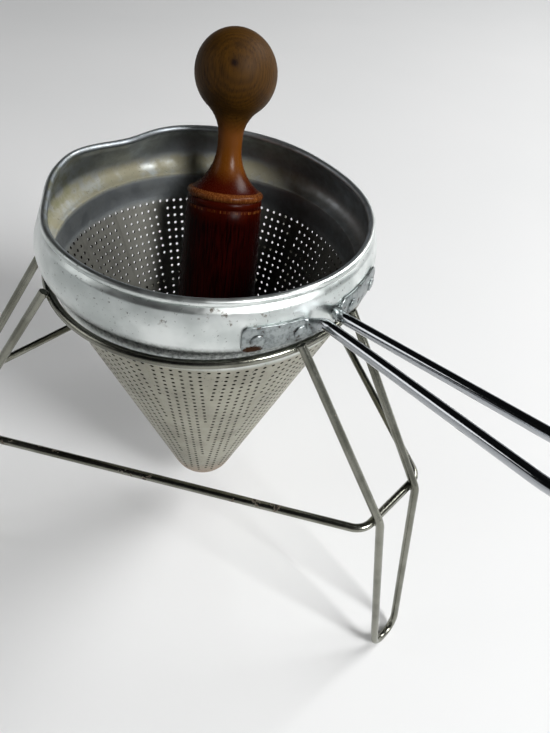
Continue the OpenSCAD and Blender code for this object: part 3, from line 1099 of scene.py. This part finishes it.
        # Holes that would cut into the next gore or the tip are left out
        half = node(Kind.MULTIPLY, node(Kind.MULTIPLY, share, sin), 0.5)
        half = node("ShaderNodeMath", half, operation="TANGENT")
        room = node(Kind.SUBTRACT, node(Kind.MULTIPLY, y, half), get["Margin"])
        aside = node("ShaderNodeMath", x, operation="ABSOLUTE")
        low = node(Kind.ADD, get["Near"], get["Margin"])
        outside, below = (
            node("FunctionNodeCompare", *pair, data_type="FLOAT", operation="GREATER_THAN")
            for pair in ((aside, room), (low, y))
        )
        drop = node("FunctionNodeBooleanMath", outside, below, operation="OR")
        kept = node("GeometryNodeDeleteGeometry", lattice, drop, domain="POINT")
        radius = node(Kind.MULTIPLY, get["Hole Diameter"], 0.5)
        edge = node("GeometryNodeMeshCircle", get["Hole Sides"], radius, fill_type="NONE")
        punched = node("GeometryNodeInstanceOnPoints", {"Points": kept, "Instance": edge})
        holes = node("GeometryNodeRealizeInstances", punched)

        # The flat sheet with its holes, as an inner and an outer skin, and the holes' walls between
        lines = node("GeometryNodeJoinGeometry", [get["Geometry"], holes])
        sheet = node("GeometryNodeFillCurve", node("GeometryNodeMeshToCurve", lines))
        lift = node("ShaderNodeCombineXYZ", 0.0, 0.0, get["Wall"])
        outer = node("GeometryNodeSetPosition", {"Geometry": sheet, "Offset": lift})
        deep = {"Mesh": holes, "Offset": lift, "Offset Scale": 1.0}
        walls = node("GeometryNodeExtrudeMesh", deep, mode="EDGES")
        gore = node("GeometryNodeJoinGeometry", [outer, node("GeometryNodeFlipFaces", sheet), walls])
        welded = node("GeometryNodeMergeByDistance", {"Geometry": gore, "Distance": 0.004 * MM})

        # Rolling up: distance from the apex and angle in the flat become height, radius and turn
        apart = node(Kind.LENGTH, node("ShaderNodeCombineXYZ", x, y))
        turn = node(Kind.DIVIDE, node("ShaderNodeMath", x, y, operation="ARCTAN2"), sin)
        out = node(Kind.MULTIPLY_ADD, apart, sin, node(Kind.MULTIPLY, t, cos))
        height = node(Kind.MULTIPLY_ADD, apart, cos, get["Apex Height"])
        height = node(Kind.SUBTRACT, height, node(Kind.MULTIPLY, t, sin))
        across = [node(Kind.MULTIPLY, out, node(way, turn)) for way in (Kind.COSINE, Kind.SINE)]
        rolled = node("ShaderNodeCombineXYZ", *across, height)
        curved = node("GeometryNodeSetPosition", {"Geometry": welded, "Position": rolled})
        seats = node("GeometryNodeMeshLine", {"Count": get["Gores"], "Offset": (0.0, 0.0, 0.0)})
        spin = node(Kind.MULTIPLY, node("GeometryNodeInputIndex"), share)
        spin = node("ShaderNodeCombineXYZ", 0.0, 0.0, spin)
        around = node("GeometryNodeInstanceOnPoints", {"Points": seats, "Instance": curved, "Rotation": spin})
        real = node("GeometryNodeRealizeInstances", around)
        merged = node("GeometryNodeMergeByDistance", {"Geometry": real, "Distance": 0.01 * MM})
        dressed = node("GeometryNodeSetMaterial", {"Geometry": merged, "Material": get["Metal"]})
        node("NodeGroupOutput", dressed)
        return run_nodes(self.blank(near, far), tree, by_socket)

    def build(self, place: Matrix, material: bpy.types.Material) -> bpy.types.Object:
        """Makes the whole sieve as one closed mesh.

        Args:
            place: Where the sieve leans in its ring.
            material: Its finish.

        Returns:
            The sieve, over the node sieve_body.
        """
        verts, faces = lathe(self.section(), self.steps)
        for radius in (self.tip_r, self.tip_r - self.wall):
            line = arc((0, self.tip_centre), radius, -self.cone_angle, -90, 9)
            more, shapes = lathe(line[:-1] + [(0.0, self.tip_centre - radius)], self.steps)
            faces += [[len(verts) + i for i in f] for f in shapes]
            verts += more
        collar = new_object("sieve_shell", verts, faces)
        cone = self.punched_cone(material)
        clean(collar, sharp=32, merge=0.02, joined=cone.data, bend=self.bend_rim)
        bpy.data.objects.remove(cone)
        self.mark_faces(collar.data)
        collar.data.transform(place)
        collar.data.materials.append(material)
        return collar

    def bend_rim(self, verts: bmesh.types.BMVertSeq) -> None:
        """Bends the rim and the upper collar out of round.

        Args:
            verts: Points of the sieve, which are moved.
        """
        for v in verts:
            share = smoothstep(self.bend_from_z, self.rim_z - 1.0, v.co.z / MM)
            angle = math.degrees(math.atan2(v.co.y, v.co.x))
            gaps = [((angle - middle + 180) % 360 - 180, width, out) for middle, width, out in self.bends]
            move = sum(out * math.exp(-((gap / width) ** 2)) for gap, width, out in gaps) * share * MM
            v.co.xy *= 1 + move / max(v.co.xy.length, MM)

    def mark_faces(self, mesh: bpy.types.Mesh) -> None:
        """Marks the faces inside the sieve and in its holes, which the finish colours differently.

        The holes' walls get near-black painted shade.

        Args:
            mesh: Mesh of the sieve, in its own frame.
        """
        inner, hole = [], []
        for face in mesh.polygons:
            middle, normal = face.center, face.normal
            radius = math.hypot(middle.x, middle.y)
            out = (middle.x * normal.x + middle.y * normal.y) / max(radius, 1e-6)
            on_cone = self.cone_bottom[1] * MM < middle.z < self.cone_top[1] * MM
            across = abs(out * math.cos(self.slope) - normal.z * math.sin(self.slope))
            # Inside, faces look towards the axis, or up at the bottom of the tip
            inner.append(float(out < -0.05 or (radius < 0.02 and normal.z > 0)))
            # The holes' walls run across the sheet's own faces
            hole.append(float(on_cone and across < 0.6))
        mark(mesh, "inner", "FACE", inner)
        mark(mesh, "hole", "FACE", hole)


# The handle and its rivets


@dataclass
class LoopHandle:
    """One rod: flattened end, pinched neck, long loop, neck and flattened end."""

    shell: PunchedSieve = field(default_factory=PunchedSieve)
    rod_d: float = 5.2
    length: float = 140.0
    neck_gap: float = 9.4
    loop_gap: float = 22.4
    loop_wide_back: float = 26.0
    loop_bend_r: float = 60.0
    loop_end_r: float = 8.3
    loop_end_y: float = 9.6
    rise: float = 7.6
    neck_z: float = 14.4
    neck_out: float = 4.0
    tab_h: float = 13.6
    tab_t: float = 1.6
    tab_angle: float = 28.5
    tab_corner: float = 2.6
    tab_gap: float = 0.05
    tab_turn: float = 2.3
    tab_narrows: float = 0.08
    # How much squarer than round the flattened end is, across and up
    square: Point2 = (0.62, 0.42)
    # The end leaves the collar at the first angle, and a bend takes it from the second out to the neck
    leave_angle: float = 7.0
    bend_angle: float = 5.0
    bend_radii: tuple[float, ...] = (0, 2.6, 3.4, 0)
    bend_lift: float = 0.4
    # How far past the inner rivet's head each end starts to narrow, and over what length
    rear_narrows: float = 4.0
    front_narrows: float = 0.2
    taper: float = 4.6
    rivet_inner: float = 10.8
    rivet_outer: float = 24.0
    rivet_head_d: float = 6.8
    rivet_head_h: float = 1.05
    rivet_shank_r: float = 1.75
    # The rust lies past the outer rivet's middle, in degrees, and under it, in millimetres
    rust_past: float = 1.0
    rust_down: float = 4.4
    sides: int = 32

    @property
    def rod_x(self) -> float:
        """How far out the rod's middle lies where it would touch the collar."""
        return self.shell.bulge_r + self.tab_gap + self.rod_d / 2

    def rod_height(self, x: float) -> float:
        """Height of the rod's middle at a distance from the axis."""
        return self.neck_z + (x - self.rod_x) * math.tan(math.radians(self.rise))

    def loop(self) -> list[Vector]:
        """Bends the loop.

        Returns:
            Middle of the rod from one neck, round the loop's far end, to the other neck.
        """
        end_x = self.shell.bulge_r + self.length
        plan = [
            (self.rod_x + self.neck_out, self.neck_gap / 2), (end_x - self.loop_wide_back, self.loop_gap / 2),
            (end_x - self.rod_d / 2, self.loop_end_y),
        ]
        corners = [Vector((x, y, self.rod_height(x))) for x, y in plan]
        corners += [Vector((p.x, -p.y, p.z)) for p in reversed(corners)]
        radii = [0, self.loop_bend_r, self.loop_end_r]
        return rounded_path(corners, radii + radii[::-1], closed=False, steps=14)

    def end_path(self, side: Side) -> list[tuple[Vector, float, float, float]]:
        """Middle of a flattened end, from its tip along the collar and out to the neck's bend.

        Args:
            side: Which of the two ends.

        Returns:
            For each step the point, the half thickness, the half height and how flat it is.
        """
        flat_r = self.shell.bulge_r + self.tab_gap + self.tab_t / 2
        start = self.tab_angle + side.value * self.tab_turn
        plan = [Vector((*p, 0)) for p in arc((0, 0), flat_r, start, self.leave_angle, 60)]
        neck, onward = (p.to_2d().to_3d() for p in self.loop()[:2])
        a = math.radians(self.bend_angle)
        bend = [plan[-1], Vector((flat_r * math.cos(a), flat_r * math.sin(a) + self.bend_lift, 0))]
        bend += [neck, neck + (onward - neck).normalized() * 4.0]
        plan += rounded_path(bend, self.bend_radii, closed=False, steps=8)[1:]
        lengths = list(accumulate(((b - a).length for a, b in pairwise(plan)), initial=0.0))
        first = math.radians(self.tab_angle - self.rivet_inner) * flat_r + self.rivet_head_d / 2
        first += self.front_narrows if side is Side.FRONT else self.rear_narrows
        corner, path, taken = self.tab_corner, [], -1.0
        # Points are kept close together round the tip's corners and 1 mm apart beyond
        for p, s in zip(plan, lengths):
            if s - taken < (0.25 if s < corner else 1.0) and s not in (lengths[0], lengths[-1]):
                continue
            taken = s
            neck_share = smoothstep(first, first + self.taper, s)
            half_h = self.tab_h / 2 * (1 - self.tab_narrows * smoothstep(8, first, s))
            if s < corner:
                half_h += math.sqrt(max(0.0, corner**2 - (corner - s) ** 2)) - corner
            half_h += (self.rod_d / 2 - half_h) * neck_share
            thicker = (self.rod_d - self.tab_t) / 2 * smoothstep(first + 1.0, first + self.taper + 1.5, s)
            lift = smoothstep(first - 1.0, lengths[-1] - 5.0, s)
            scale = 1 + (thicker / p.length if p.length < flat_r + 0.5 else 0.0)
            z = self.shell.bulge_z + (self.rod_height(p.x) - self.shell.bulge_z) * lift
            point = Vector((p.x * scale, side.value * p.y * scale, z))
            path.append((point, self.tab_t / 2 + thicker, half_h, 1 - neck_share))
        return path

    def build(self, place: Matrix, material: bpy.types.Material) -> bpy.types.Object:
        """Sweeps the rod and its flattened ends as one closed mesh.

        Args:
            place: Where the sieve leans in its ring.
            material: Its finish.

        Returns:
            The handle, over the node handle.
        """
        half = self.rod_d / 2
        loop = [(p, half, half, 0.0) for p in densify(self.loop()[1:-1], closed=False, longest=10.0)]
        stations = self.end_path(Side.REAR) + loop + self.end_path(Side.FRONT)[::-1]
        points = [s[0] for s in stations]
        verts: list[Vector] = []
        ways = [after - before for before, after in zip(points[:1] + points, points[1:] + points[-1:])]
        for (p, half_t, half_h, flat), way in zip(stations, ways):
            tangent = way.normalized()
            out = tangent.cross(Vector((0, 0, 1))).normalized()
            rise = out.cross(tangent).normalized()
            radial = Vector((p.x, p.y, 0)).normalized()
            for c, s, _ in circle(1, 0, self.sides):
                w = half_t * math.copysign(abs(c) ** (1 - self.square[0] * flat), c)
                h = half_h * math.copysign(abs(s) ** (1 - self.square[1] * flat), s)
                # A flat end is dished to the bulge of the collar, which lies on its inner side
                verts.append(p + out * w + rise * h - radial * (h * h / (2 * self.shell.bulge_arc_r)) * flat)
        obj = new_object("handle_rod", verts, swept_faces(len(points), self.sides), place)
        clean(obj, sharp=38)
        obj.data.materials.append(material)
        return obj

    def rust_spot(self, place: Matrix) -> Vector:
        """Where the front end rusts, under its outer rivet.

        Args:
            place: Where the sieve leans in its ring.

        Returns:
            The point, in metres in the part's frame.
        """
        a = math.radians(self.tab_turn - self.rivet_outer - self.rust_past)
        r = self.shell.bulge_r + self.tab_t
        return place @ (Vector((r * math.cos(a), r * math.sin(a), self.shell.bulge_z - self.rust_down)) * MM)

    def build_rivets(self, place: Matrix, material: bpy.types.Material) -> bpy.types.Object:
        """Sets one turned rivet at each place round the collar, by geometry nodes.

        Args:
            place: Where the sieve leans in its ring.
            material: Their finish.

        Returns:
            One mesh of the four rivets, over their nodes.
        """
        shell, head, shank = self.shell, self.rivet_head_d / 2, self.rivet_shank_r
        outer = shell.bulge_r + self.tab_gap + self.tab_t
        inner = shell.bulge_r - shell.wall - head**2 / (2 * (shell.bulge_arc_r - shell.wall)) - self.tab_gap
        # Outline from the tail inside the collar, along the shank, to the head outside
        profile = [(0.0, inner - 0.85), (head - 0.4, inner - 0.8), (head, inner - 0.45), (head, inner)]
        profile += [(shank, inner), (shank, outer), (head, outer - 0.3), (head, outer + 0.3)]
        profile += [(head - 0.2, outer + 0.55), (head - 0.7, outer + 0.8)]
        profile += [(head - 1.6, outer + self.rivet_head_h - 0.1), (0.0, outer + self.rivet_head_h)]
        rivet = new_object("rivet_pattern", *lathe(profile, self.sides))
        clean(rivet, sharp=45)
        angles = [self.tab_turn + s * a for s in (1, -1) for a in (self.rivet_inner, self.rivet_outer)]
        obj = new_object("collar_rivets", [(0, 0, shell.bulge_z)] * len(angles), [])
        mark(obj.data, "turn", "POINT", map(math.radians, angles))
        tree, get, by_socket = node_group("collar_rivets", {"Rivet": rivet, "Metal": material})
        node = partial(add, tree)
        shape = node("GeometryNodeObjectInfo", {"Object": get["Rivet"]}).outputs["Geometry"]
        turn = node("GeometryNodeInputNamedAttribute", {"Name": "turn"}, data_type="FLOAT")
        facing = node("ShaderNodeCombineXYZ", 0.0, math.pi / 2, turn)
        setting = {"Points": get["Geometry"], "Instance": shape, "Rotation": facing}
        real = node("GeometryNodeRealizeInstances", node("GeometryNodeInstanceOnPoints", setting))
        node("NodeGroupOutput", node("GeometryNodeSetMaterial", {"Geometry": real, "Material": get["Metal"]}))
        run_nodes(obj, tree, by_socket)
        bpy.data.objects.remove(rivet)
        obj.data.transform(place)
        return obj


# The pestle


@dataclass
class TurnedPestle:
    """Foot, barrel body, groove, bead, neck and knob, turned from one piece."""

    length: float = 273.5
    knob_r: float = 22.7
    neck_r: float = 7.0
    neck_below_top: float = 60.0
    flare_r: float = 28.9
    knob_flare_r: float = 19.0
    bead_out_r: float = 22.4
    bead_r: float = 2.0
    body_r: float = 24.5
    body_wide_z: float = 92.0
    body_top_in: float = 0.5
    groove_down: float = 4.0
    foot_round: float = 11.0
    lean: float = 18.0
    towards: float = 135.0
    rest_gap: float = 0.3

    def profile(self) -> tuple[list[Point2], float]:
        """The turned outline.

        Returns:
            Its points from foot to knob, and how far out the foot's round has its middle.
        """
        knob_z = self.length - self.knob_r
        low_z = self.length - self.neck_below_top
        flare_x = self.neck_r + self.flare_r
        blend_x = self.neck_r + self.knob_flare_r
        blend_z = knob_z - math.sqrt((self.knob_r + self.knob_flare_r) ** 2 - blend_x**2)
        blend_angle = math.degrees(math.atan2(knob_z - blend_z, -blend_x))
        bead_x = self.bead_out_r - self.bead_r
        flare_end = 180 + math.degrees(math.acos((flare_x - bead_x) / self.flare_r))
        bead_z = low_z + self.flare_r * math.sin(math.radians(flare_end)) - self.bead_r
        top_x, top_z = self.bead_out_r - self.body_top_in, bead_z - self.bead_r
        narrower = self.body_r - top_x
        body_arc = ((top_z - self.body_wide_z) ** 2 + narrower**2) / (2 * narrower)
        body_x = self.body_r - body_arc
        foot_a = math.asin((self.foot_round - self.body_wide_z) / (body_arc - self.foot_round))
        foot_x = body_x + (body_arc - self.foot_round) * math.cos(foot_a)

        def side(z: float) -> Point2:
            """The point on the body's side at a height."""
            return (body_x + math.sqrt(body_arc**2 - (z - self.body_wide_z) ** 2), z)

        line = [(0.0, 0.0)] + arc((foot_x, self.foot_round), self.foot_round, -90, math.degrees(foot_a), 14)
        low, groove = line[-1][1], top_z - self.groove_down
        line += [side(low + (groove - 0.7 - low) * k / 24) for k in range(1, 25)]
        # The groove, and the body's rounded upper edge under the bead
        cut = ((0.45, -0.25), (0.5, 0.0), (0.4, 0.3))
        line += [(side(groove)[0] - deep, groove + up) for deep, up in cut]
        line += [side(groove + 0.7), (top_x - 0.05, top_z - 0.6), (top_x - 0.6, top_z - 0.1)]
        line += arc((bead_x, bead_z), self.bead_r, -52, 72, 10)
        line += arc((flare_x, low_z), self.flare_r, flare_end - 1.5, 180, 20)
        line += arc((blend_x, blend_z), self.knob_flare_r, 180, blend_angle, 10)
        line += arc((0, knob_z), self.knob_r, blend_angle - 180 + 2, 90, 26)[:-1]
        return line + [(0.0, self.length)], foot_x

    def matrix(self, sieve: Matrix, shell: PunchedSieve) -> Matrix:
        """Where the pestle leans in the cone, with its nearest point clear of the wall by the rest gap.

        Args:
            sieve: The sieve's place.
            shell: The sieve's sizes.

        Returns:
            The pestle's place, in metres.
        """
        line, foot_x = self.profile()
        slope, lean = shell.slope, math.radians(self.lean)
        shift = -math.sin(lean) * (self.foot_round + foot_x * math.tan(slope))
        clear = (shell.wall + self.rest_gap) / math.cos(slope)
        inside = shell.band_r - clear + shell.band_h * math.tan(slope)
        heights = []
        for x, z in line:
            for way in circle(x, 0, 72)[:37]:
                reach = math.hypot(way.x * math.cos(lean) + z * math.sin(lean) + shift, way.y)
                drop = z * math.cos(lean) - way.x * math.sin(lean)
                heights.append((reach - inside) / math.tan(slope) - drop)
        turn = Matrix.Rotation(math.radians(self.towards), 4, "Z")
        seat = Matrix.Translation((shift * MM, 0, max(heights) * MM))
        return sieve @ turn @ seat @ Matrix.Rotation(lean, 4, "Y")

    def build(self, place: Matrix, material: bpy.types.Material) -> bpy.types.Object:
        """Turns the pestle.

        Args:
            place: Where it stands.
            material: Its finish.

        Returns:
            The pestle, over the node pestle.
        """
        obj = new_object("pestle_wood", *lathe(self.profile()[0], 112), place)
        clean(obj, sharp=50)
        obj.data.materials.append(material)
        return obj


# The room

FLOOR_RADIUS = 14000.0  # mm, far enough for its edge to sit on the horizon
HORIZON = "#DADCDD"
OVERHEAD = "#121314"
ROOM_LEVEL = 0.85
DARK_FROM = (0.10, 0.30)  # sine of the height over the horizon at which the room starts and ends darkening
FLOOR_FADES = (1.2, 3.2)  # m from the origin
SENSOR = 36.0


@dataclass
class Studio:
    """Camera, lamps, world and the pale floor."""

    eye: tuple[float, float, float] = (0.2285, -0.1528, 0.3971)
    right: tuple[float, float, float] = (0.6321, 0.7732, 0.0506)
    up: tuple[float, float, float] = (-0.5640, 0.4143, 0.7143)
    focal_px: float = 600.0
    width_px: int = 550

    def camera(self) -> None:
        """Sets the camera where the photograph was taken from."""
        data = bpy.data.cameras.new("view")
        data.sensor_fit = "HORIZONTAL"
        data.sensor_width = SENSOR
        data.lens = self.focal_px / self.width_px * SENSOR
        data.clip_start = 0.01
        obj = bpy.data.objects.new("view", data)
        right, up = Vector(self.right).normalized(), Vector(self.up)
        back = right.cross(up).normalized()
        up = back.cross(right).normalized()
        obj.matrix_world = Matrix.Translation(self.eye) @ Matrix((right, up, back)).transposed().to_4x4()
        bpy.context.scene.collection.objects.link(obj)
        bpy.context.scene.camera = obj

    def lamp(self, name: str, place: Sequence[float], aim_z: float, size: float, watts: float) -> None:
        """Hangs one soft square white lamp.

        Args:
            name: Name of the lamp.
            place: Where it hangs, in metres.
            aim_z: Height over the part's origin that it points at.
            size: Width of its face, in metres.
            watts: Its power.
        """
        data = bpy.data.lights.new(name, "AREA")
        data.shape = "SQUARE"
        data.size = size
        data.energy = watts
        obj = bpy.data.objects.new(name, data)
        obj.rotation_euler = (Vector((0, 0, aim_z)) - Vector(place)).to_track_quat("-Z", "Y").to_euler()
        obj.location = place
        bpy.context.scene.collection.objects.link(obj)

    def world(self) -> None:
        """A room that is pale round the horizon and dark overhead, so that bright metal shows dark bands."""
        world = bpy.data.worlds.new("room")
        bpy.context.scene.world = world
        world.use_nodes = True
        world.node_tree.nodes.clear()
        node = partial(add, world.node_tree)
        way = node("ShaderNodeTexCoord").outputs["Generated"]
        z = node("ShaderNodeSeparateXYZ", way).outputs[2]
        tone = cover(node, HORIZON, ((z, *DARK_FROM), OVERHEAD))
        room = node("ShaderNodeBackground", {"Color": tone, "Strength": ROOM_LEVEL})
        node("ShaderNodeOutputWorld", {"Surface": room})

    def floor(self) -> None:
        """A wide pale floor whose far part glows like the horizon, so that it fades into the background."""
        corners = circle(FLOOR_RADIUS, 0, 96)
        obj = new_object("floor", corners, [list(range(len(corners)))])
        material, node = new_material("matt_white_board")
        coords = node("ShaderNodeTexCoord").outputs["Object"]
        cloud = node(Kind.NOISE, coords, 1 / (300 * MM), 2.0)
        tone = node(Kind.MIX, cloud, "#E3E4E4", "#EAEAEA")
        board = node("ShaderNodeBsdfPrincipled", {"Base Color": tone, "Roughness": 0.6})
        far = node(Kind.SMOOTH, node(Kind.LENGTH, coords), *FLOOR_FADES)
        glow = node("ShaderNodeEmission", {"Color": HORIZON, "Strength": ROOM_LEVEL})
        node("ShaderNodeOutputMaterial", {"Surface": node("ShaderNodeMixShader", far, board, glow)})
        obj.data.materials.append(material)

    def build(self) -> None:
        """Sets up the room."""
        bpy.context.scene.view_settings.view_transform = "Standard"
        self.camera()
        self.world()
        self.floor()
        self.lamp("window_right", (2.50, 0.45, 2.05), 0.15, 0.9, 100)
        self.lamp("window_back", (0.60, 2.70, 2.30), 0.15, 1.6, 82)
        self.lamp("window_left", (-0.9, -1.25, 1.1), 0.1, 0.8, 3)


def main() -> None:
    """Builds the scene piece by piece."""
    logging.basicConfig(level=logging.INFO, format="%(name)s: %(message)s")
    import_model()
    Studio().build()

    stand = WireStand()
    shell = PunchedSieve()
    sieve_place = shell.matrix(stand)
    pestle = TurnedPestle()
    pestle_place = pestle.matrix(sieve_place, shell)
    aluminium = SpunAluminium(place=sieve_place).build()
    wire = DrawnWire().build()
    handle = LoopHandle(shell)
    chrome = PlatedRod(rust_at=handle.rust_spot(sieve_place)).build()
    wood = TurnedWood(place=pestle_place).build()

    for piece in stand.build():
        piece.data.materials.append(wire)
        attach(piece, STAND)
    beads = stand.build_welds(wire)
    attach(beads, STAND)
    log.info("stand done")

    sieve = shell.build(sieve_place, aluminium)
    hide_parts("sieve_body")
    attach(sieve, SIEVE)
    log.info("sieve: %d faces", len(sieve.data.polygons))

    rod = handle.build(sieve_place, chrome)
    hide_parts("handle")
    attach(rod, SIEVE)
    rivets = handle.build_rivets(sieve_place, chrome)
    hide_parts(*[f"handle_rivet_{n}" for n in range(1, 5)])
    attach(rivets, SIEVE)
    log.info("handle and rivets done")

    wooden = pestle.build(pestle_place, wood)
    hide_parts("pestle")
    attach(wooden, PESTLE)
    log.info("pestle done")


if __name__ == "__main__":
    main()
